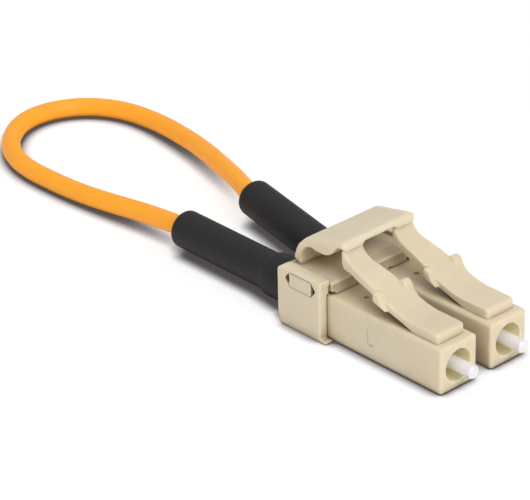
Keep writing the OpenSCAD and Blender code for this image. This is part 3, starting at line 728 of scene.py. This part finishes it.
# %% Rubber and jacket
def soft_skin(name, light, dark, rough, size, height):
    """A smooth skin whose bumps are size wide and height tall, in mm."""
    material, tree, shader, place = new_material(name)
    noise = add(tree, "ShaderNodeTexNoise", Vector=place, Scale=per_mm(size), Detail=4.0)
    broad = add(tree, "ShaderNodeTexNoise", Vector=place, Scale=per_mm(6), Detail=2.0)
    mix = add(
        tree, "ShaderNodeMix", {"data_type": "RGBA"},
        _0=broad.outputs["Fac"], _6=linear(dark), _7=linear(light),
    )
    tree.links.new(mix.outputs[2], shader.inputs["Base Color"])
    gloss = add(
        tree, "ShaderNodeMapRange", _0=noise.outputs["Fac"], _1=0.3, _2=0.7,
        _3=rough - 0.06, _4=rough + 0.08,
    )
    tree.links.new(gloss.outputs[0], shader.inputs["Roughness"])
    bump = add(
        tree, "ShaderNodeBump", Height=noise.outputs["Fac"], Strength=0.15, Distance=height * MM
    )
    tree.links.new(bump.outputs[0], shader.inputs["Normal"])
    return material


sleeve_rubber = soft_skin("moulded_rubber_black", "#272324", "#1F1C1D", 0.58, 0.3, 0.02)
sleeve_rubber.node_tree.nodes["Principled BSDF"].inputs["Specular IOR Level"].default_value = 0.36
cable_pvc = soft_skin("extruded_pvc_orange", "#FFAC2C", "#FFA523", 0.42, 0.5, 0.02)
jacket = cable_pvc.node_tree.nodes["Principled BSDF"]
jacket.inputs["Specular IOR Level"].default_value = 0.35
# The emission is a painted glow that keeps the orange brighter than the lamps make it.
jacket.inputs["Emission Color"].default_value = linear("#FFA526")
jacket.inputs["Emission Strength"].default_value = 0.14
jacket.inputs["Subsurface Weight"].default_value = 0.2
jacket.inputs["Subsurface Scale"].default_value = 0.4 * MM
print("skins:", sleeve_rubber.name, cable_pvc.name)

# %% [markdown]
# ### Ceramic, metals and the guide tube
# The ferrule is polished zirconia, dense, white and a little translucent. The
# parts inside are nickel-plated brass, drawn spring steel, crimped brass and a
# milky polypropylene tube.

# %% Ceramic, metals and guide tube
def hard_finish(name, light, dark, rough, metallic, ior=1.5):
    """A ceramic, metal or hard plastic with fine marks that run along x."""
    material, tree, shader, place = new_material(name)
    stretch = add(tree, "ShaderNodeMapping", Vector=place, Scale=(0.15, 1.0, 1.0))
    marks = add(
        tree, "ShaderNodeTexNoise", Vector=stretch.outputs[0], Scale=per_mm(0.12), Detail=3.0
    )
    mix = add(
        tree, "ShaderNodeMix", {"data_type": "RGBA"},
        _0=marks.outputs["Fac"], _6=linear(dark), _7=linear(light),
    )
    tree.links.new(mix.outputs[2], shader.inputs["Base Color"])
    gloss = add(
        tree, "ShaderNodeMapRange", _0=marks.outputs["Fac"], _1=0.3, _2=0.7,
        _3=max(rough - 0.05, 0.05), _4=rough + 0.05,
    )
    tree.links.new(gloss.outputs[0], shader.inputs["Roughness"])
    shader.inputs["Metallic"].default_value = metallic
    if not metallic:
        shader.inputs["IOR"].default_value = ior
    return material


zirconia = hard_finish("polished_zirconia", "#F2F0F0", "#ECE9EA", 0.2, 0.0, ior=1.8)
ceramic = zirconia.node_tree.nodes["Principled BSDF"]
ceramic.inputs["Subsurface Weight"].default_value = 0.3
ceramic.inputs["Subsurface Scale"].default_value = 0.4 * MM
nickel = hard_finish("nickel_plated_brass", "#C4C2BC", "#B5B2AB", 0.3, 1.0)
spring_wire = hard_finish("drawn_spring_steel", "#A9ABAE", "#8F9194", 0.3, 1.0)
crimp_brass = hard_finish("crimped_brass", "#C9B072", "#B39A5C", 0.35, 1.0)
milky_tube = hard_finish("milky_polypropylene", "#E6E6E0", "#DCDCD5", 0.35, 0.0)
hard = (zirconia, nickel, spring_wire, crimp_brass, milky_tube)
print("hard finishes:", [material.name for material in hard])

# %% [markdown]
# ### A material for every slot
# Each slot of the frame names one material, and every CAD solid and every new piece gets its
# slot's. The clip's cover then takes its own copy of the clip plastic, with deeper painted corner
# shade and a painted shadow on the skirt's front.

# %% Materials on the pieces
SLOT_MATERIALS = {
    "clip_plastic": clip_abs, "plug_plastic": plug_polyester, "ceramic": zirconia,
    "flange_metal": nickel, "guide_plastic": milky_tube, "spring_steel": spring_wire,
    "crimp_metal": crimp_brass, "sleeve_rubber": sleeve_rubber, "cable_jacket": cable_pvc,
}
NODE_SLOTS = {row["node"]: row["material_slot"] for row in frame["record"]["subparts"]}
for node, cad_object in frame["nodes"].items():
    cad_object.data.materials.clear()
    cad_object.data.materials.append(SLOT_MATERIALS[NODE_SLOTS[node]])
for piece in bpy.context.scene.objects:
    if "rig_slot" in piece:
        piece.data.materials.clear()
        piece.data.materials.append(SLOT_MATERIALS[piece["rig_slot"]])
bpy.data.objects["clip_deck"].data.materials[0] = cover_abs_painted_shadow
print("materials:", sorted(m.name for m in SLOT_MATERIALS.values()))

# %% [markdown]
# ## Floor
# The plug lies on a plain white table, with a painted contact shadow close under it. Where the
# camera looks at the floor, part of its brightness is its own, so that it stays white round the
# plug.

# %% Floor
CONTACT_REACH, CONTACT_OPEN = 1.7, (0.42, 0.84)
OWN_LIGHT, LESS_LAMP = 0.72, -0.65
bm = bmesh.new()
bmesh.ops.create_grid(bm, x_segments=1, y_segments=1, size=1.5)
floor = as_object(bm, "floor")
floor_material, tree, shader, place = new_material("white_table")
grain = add(tree, "ShaderNodeTexNoise", Vector=place, Scale=per_mm(30), Detail=2.0)
paper = add(
    tree, "ShaderNodeMix", {"data_type": "RGBA"},
    _0=grain.outputs["Fac"], _6=linear("#FCFBFC"), _7=linear("#FFFFFF"),
)
# Painted contact shadow: the floor's colour turns dark grey close to the plug.
contact = add(tree, "ShaderNodeAmbientOcclusion", {"samples": 16}, Distance=CONTACT_REACH * MM)
depth = add(
    tree, "ShaderNodeMapRange", _0=contact.outputs["AO"],
    _1=CONTACT_OPEN[0], _2=CONTACT_OPEN[1], _3=0.0, _4=1.0,
)
mix = add(
    tree, "ShaderNodeMix", {"data_type": "RGBA"},
    _0=depth.outputs[0], _6=linear("#5A5453"), _7=paper.outputs[2],
)
seen = add(tree, "ShaderNodeLightPath")
hold = add(
    tree, "ShaderNodeMath", {"operation": "MULTIPLY_ADD"},
    _0=seen.outputs["Is Camera Ray"], _1=LESS_LAMP, _2=1.0,
)
held = add(
    tree, "ShaderNodeVectorMath", {"operation": "SCALE"},
    _0=mix.outputs[2], Scale=hold.outputs[0],
)
tree.links.new(held.outputs[0], shader.inputs["Base Color"])
tree.links.new(mix.outputs[2], shader.inputs["Emission Color"])
lift = add(
    tree, "ShaderNodeMath", {"operation": "MULTIPLY"},
    _0=seen.outputs["Is Camera Ray"], _1=OWN_LIGHT,
)
tree.links.new(lift.outputs[0], shader.inputs["Emission Strength"])
shader.inputs["Roughness"].default_value = 0.9
shader.inputs["Specular IOR Level"].default_value = 0.1
floor.data.materials.append(floor_material)
print("floor: contact shade reaches", CONTACT_REACH, "mm")

# %% [markdown]
# ## Lights and world
# One lamp overhead lights the tops, and a stronger one in front lights the
# faces and the bores. The world gives soft light from all round, and the camera
# sees it as plain white.

# %% Lights and world
WORLD_LIGHT = 0.54


def lamp(name, position, size, power):
    """A square area lamp that faces the plug."""
    data = bpy.data.lights.new(name, "AREA")
    data.size = size
    data.energy = power
    lamp_object = bpy.data.objects.new(name, data)
    spot = Vector(position)
    lamp_object.location = spot
    lamp_object.rotation_euler = (TARGET - spot).to_track_quat("-Z", "Y").to_euler()
    bpy.context.scene.collection.objects.link(lamp_object)


lamp("top_lamp", (-0.05, 0.05, 0.5), 0.35, 0.42)
lamp("front_lamp", (0.4, -0.1, 0.34), 0.25, 1.2)

world = bpy.data.worlds.new("studio")
bpy.context.scene.world = world
world.use_nodes = True
tree = world.node_tree
tree.nodes.clear()
rays = add(tree, "ShaderNodeLightPath")
white = add(tree, "ShaderNodeBackground", Color=(1, 1, 1, 1), Strength=1.0)
dim = add(tree, "ShaderNodeBackground", Color=(1, 1, 1, 1), Strength=WORLD_LIGHT)
choice = add(
    tree, "ShaderNodeMixShader", _0=rays.outputs["Is Camera Ray"],
    _1=dim.outputs[0], _2=white.outputs[0],
)
add(tree, "ShaderNodeOutputWorld", Surface=choice.outputs[0])
bpy.context.scene.view_settings.view_transform = "Standard"
print("light: 2 lamps and a world of strength", WORLD_LIGHT)

# %% [markdown]
# ## The last call
# The view layer is brought up to date one last time.

# %% Finish
bpy.context.view_layer.update()
